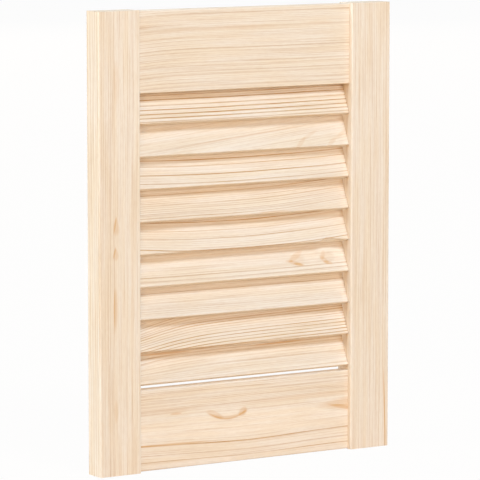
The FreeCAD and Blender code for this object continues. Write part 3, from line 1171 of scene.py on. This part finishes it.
@dataclass(frozen=True)
class Softbox:
    """A large soft lamp that faces the door.

    Attributes:
        name: The lamp's name.
        turn: How far it stands to the left of the front and above the level, degrees.
        size: Its side, m.
        level: What it adds to a white surface that faces it.
        colour: Colour of its light.
        distance: How far it stands from the door's middle, m.
    """

    name: str
    turn: Pair
    size: float
    level: float
    colour: Place = (1.0, 1.0, 1.0)
    distance: float = 6.0

    def hang(self, target: Vector) -> bpy.types.Object:
        """Hangs the lamp so that it faces a point.

        Args:
            target: The point that it faces.

        Returns:
            The lamp.
        """
        lamp = bpy.data.lights.new(self.name, "AREA")
        lamp.size = self.size
        lamp.color = self.colour
        # The lamp and the white surface each spread their light over pi
        lamp.energy = self.level * (math.pi * self.distance) ** 2
        box = bpy.data.objects.new(self.name, lamp)
        left, up = (math.radians(angle) for angle in self.turn)
        back = Vector((-math.sin(left) * math.cos(up), -math.cos(left) * math.cos(up), math.sin(up)))
        box.location = target + back * self.distance
        box.rotation_euler = (math.pi / 2 - up, 0.0, -left)
        box.visible_camera = False
        bpy.context.scene.collection.objects.link(box)
        return box


@dataclass
class Studio:
    """The floor, the lights and the camera.

    Attributes:
        floor_size: Side of the floor, m.
        floor_colour: Colour of the floor.
        floor_glow: How much of the floor the camera sees as plain white.
        sky: Level of the light from all round.
        boxes: The soft lamps.
        camera_place: Where the camera stands, m.
        camera_turn: How far it looks to the right and down, degrees.
        lens: Focal length, mm on a 36 mm wide sensor.
    """

    floor_size: float = 40.0
    floor_colour: Place = (0.72, 0.54, 0.37)
    floor_glow: float = 0.97
    sky: float = 0.02
    boxes: tuple[Softbox, ...] = (
        Softbox("key_box", (0.0, 47.0), 1.4, 0.53, (0.83, 1.00, 1.17)),
        Softbox("left_box", (90.0, 20.0), 1.8, 0.67, (0.81, 1.00, 1.16)),
        Softbox("left_front_box", (42.0, 15.0), 1.8, 0.145, (1.40, 1.00, 0.60)),
        Softbox("right_front_box", (-12.0, 14.0), 1.8, 0.25, (0.95, 1.00, 1.07)),
        Softbox("right_box", (-95.0, 30.0), 1.8, 0.25),
        Softbox("back_left_box", (155.0, 18.0), 3.0, 0.28, (1.04, 1.00, 0.93)),
        Softbox("back_right_box", (205.0, 18.0), 3.0, 0.28, (1.04, 1.00, 0.93)),
    )
    camera_place: Place = (-1.58613, -2.55789, 0.56319)
    camera_turn: Pair = (31.777, 7.017)
    lens: float = 262.84

    def seen(self, bench: Bench) -> bpy.types.NodeSocket:
        """Tells the rays that show a surface to the eye from the rays that light the door.

        Args:
            bench: The tree to work in.

        Returns:
            A socket that is 1 for rays from the camera, reflections and glass.
        """
        path = bench.add("ShaderNodeLightPath").outputs
        seen = bench.math("ADD", path["Is Camera Ray"], path["Is Glossy Ray"])
        return bench.math("ADD", seen, path["Is Transmission Ray"], clamp=True)

    def lay_floor(self) -> bpy.types.Object:
        """Makes the pale floor, which reads as white and keeps a soft shadow.

        Returns:
            The floor.
        """
        half = self.floor_size / 2
        corners = [(-half, -half, 0.0), (half, -half, 0.0), (half, half, 0.0), (-half, half, 0.0)]
        mesh = bpy.data.meshes.new("floor")
        mesh.from_pydata(corners, [], [(0, 1, 2, 3)])
        floor = bpy.data.objects.new("floor", mesh)
        bpy.context.scene.collection.objects.link(floor)
        made = bpy.data.materials.new("pale_floor")
        made.use_nodes = True
        made.node_tree.nodes.clear()
        bench = Bench(made.node_tree)
        matt = bench.add("ShaderNodeBsdfDiffuse", {"Color": (*self.floor_colour, 1.0)}).outputs[0]
        white = bench.add("ShaderNodeEmission", {"Color": WHITE, "Strength": 1.0}).outputs[0]
        share = bench.math("MULTIPLY", self.seen(bench), self.floor_glow)
        mixed = bench.add("ShaderNodeMixShader", {0: share, 1: matt, 2: white}).outputs[0]
        bench.add("ShaderNodeOutputMaterial", {"Surface": mixed})
        mesh.materials.append(made)
        return floor

    def light(self) -> list[bpy.types.Object]:
        """Sets the even light from all round and hangs the lamps.

        Returns:
            The lamps.
        """
        world = bpy.data.worlds.new("studio")
        world.use_nodes = True
        world.node_tree.nodes.clear()
        bench = Bench(world.node_tree)
        dim = bench.add("ShaderNodeBackground", {"Color": WHITE, "Strength": self.sky}).outputs[0]
        white = bench.add("ShaderNodeBackground", {"Color": WHITE, "Strength": 1.0}).outputs[0]
        mixed = bench.add("ShaderNodeMixShader", {0: self.seen(bench), 1: dim, 2: white}).outputs[0]
        bench.add("ShaderNodeOutputWorld", {"Surface": mixed})
        bpy.context.scene.world = world
        middle = (CAD_BOX[0] + CAD_BOX[1]) / 2
        return [box.hang(middle) for box in self.boxes]

    def set_camera(self) -> bpy.types.Object:
        """Stands the camera where the photograph was taken from.

        Returns:
            The camera.
        """
        data = bpy.data.cameras.new("camera")
        data.lens = self.lens
        camera = bpy.data.objects.new("camera", data)
        right, down = (math.radians(angle) for angle in self.camera_turn)
        camera.location = self.camera_place
        camera.rotation_euler = (math.pi / 2 - down, 0.0, -right)
        bpy.context.scene.collection.objects.link(camera)
        bpy.context.scene.camera = camera
        return camera

    def build(self) -> list[bpy.types.Object]:
        """Makes the studio and has colours shown as they are.

        Returns:
            The floor, the lamps and the camera.
        """
        bpy.context.scene.view_settings.view_transform = "Standard"
        return [self.lay_floor(), *self.light(), self.set_camera()]


def main() -> None:
    """Builds the studio and the door, piece by piece."""
    logging.basicConfig(level=logging.INFO, format="%(name)s: %(message)s")
    pine = PineFinish()
    pieces = [
        *Studio().build(),
        *DoorFrame(pine).dress(),
        SlatRow(pine).build(),
        *Dowels(BeechFinish()).dress(),
    ]
    for piece in pieces:
        log.info("made %s", piece.name)


if __name__ == "__main__":
    main()
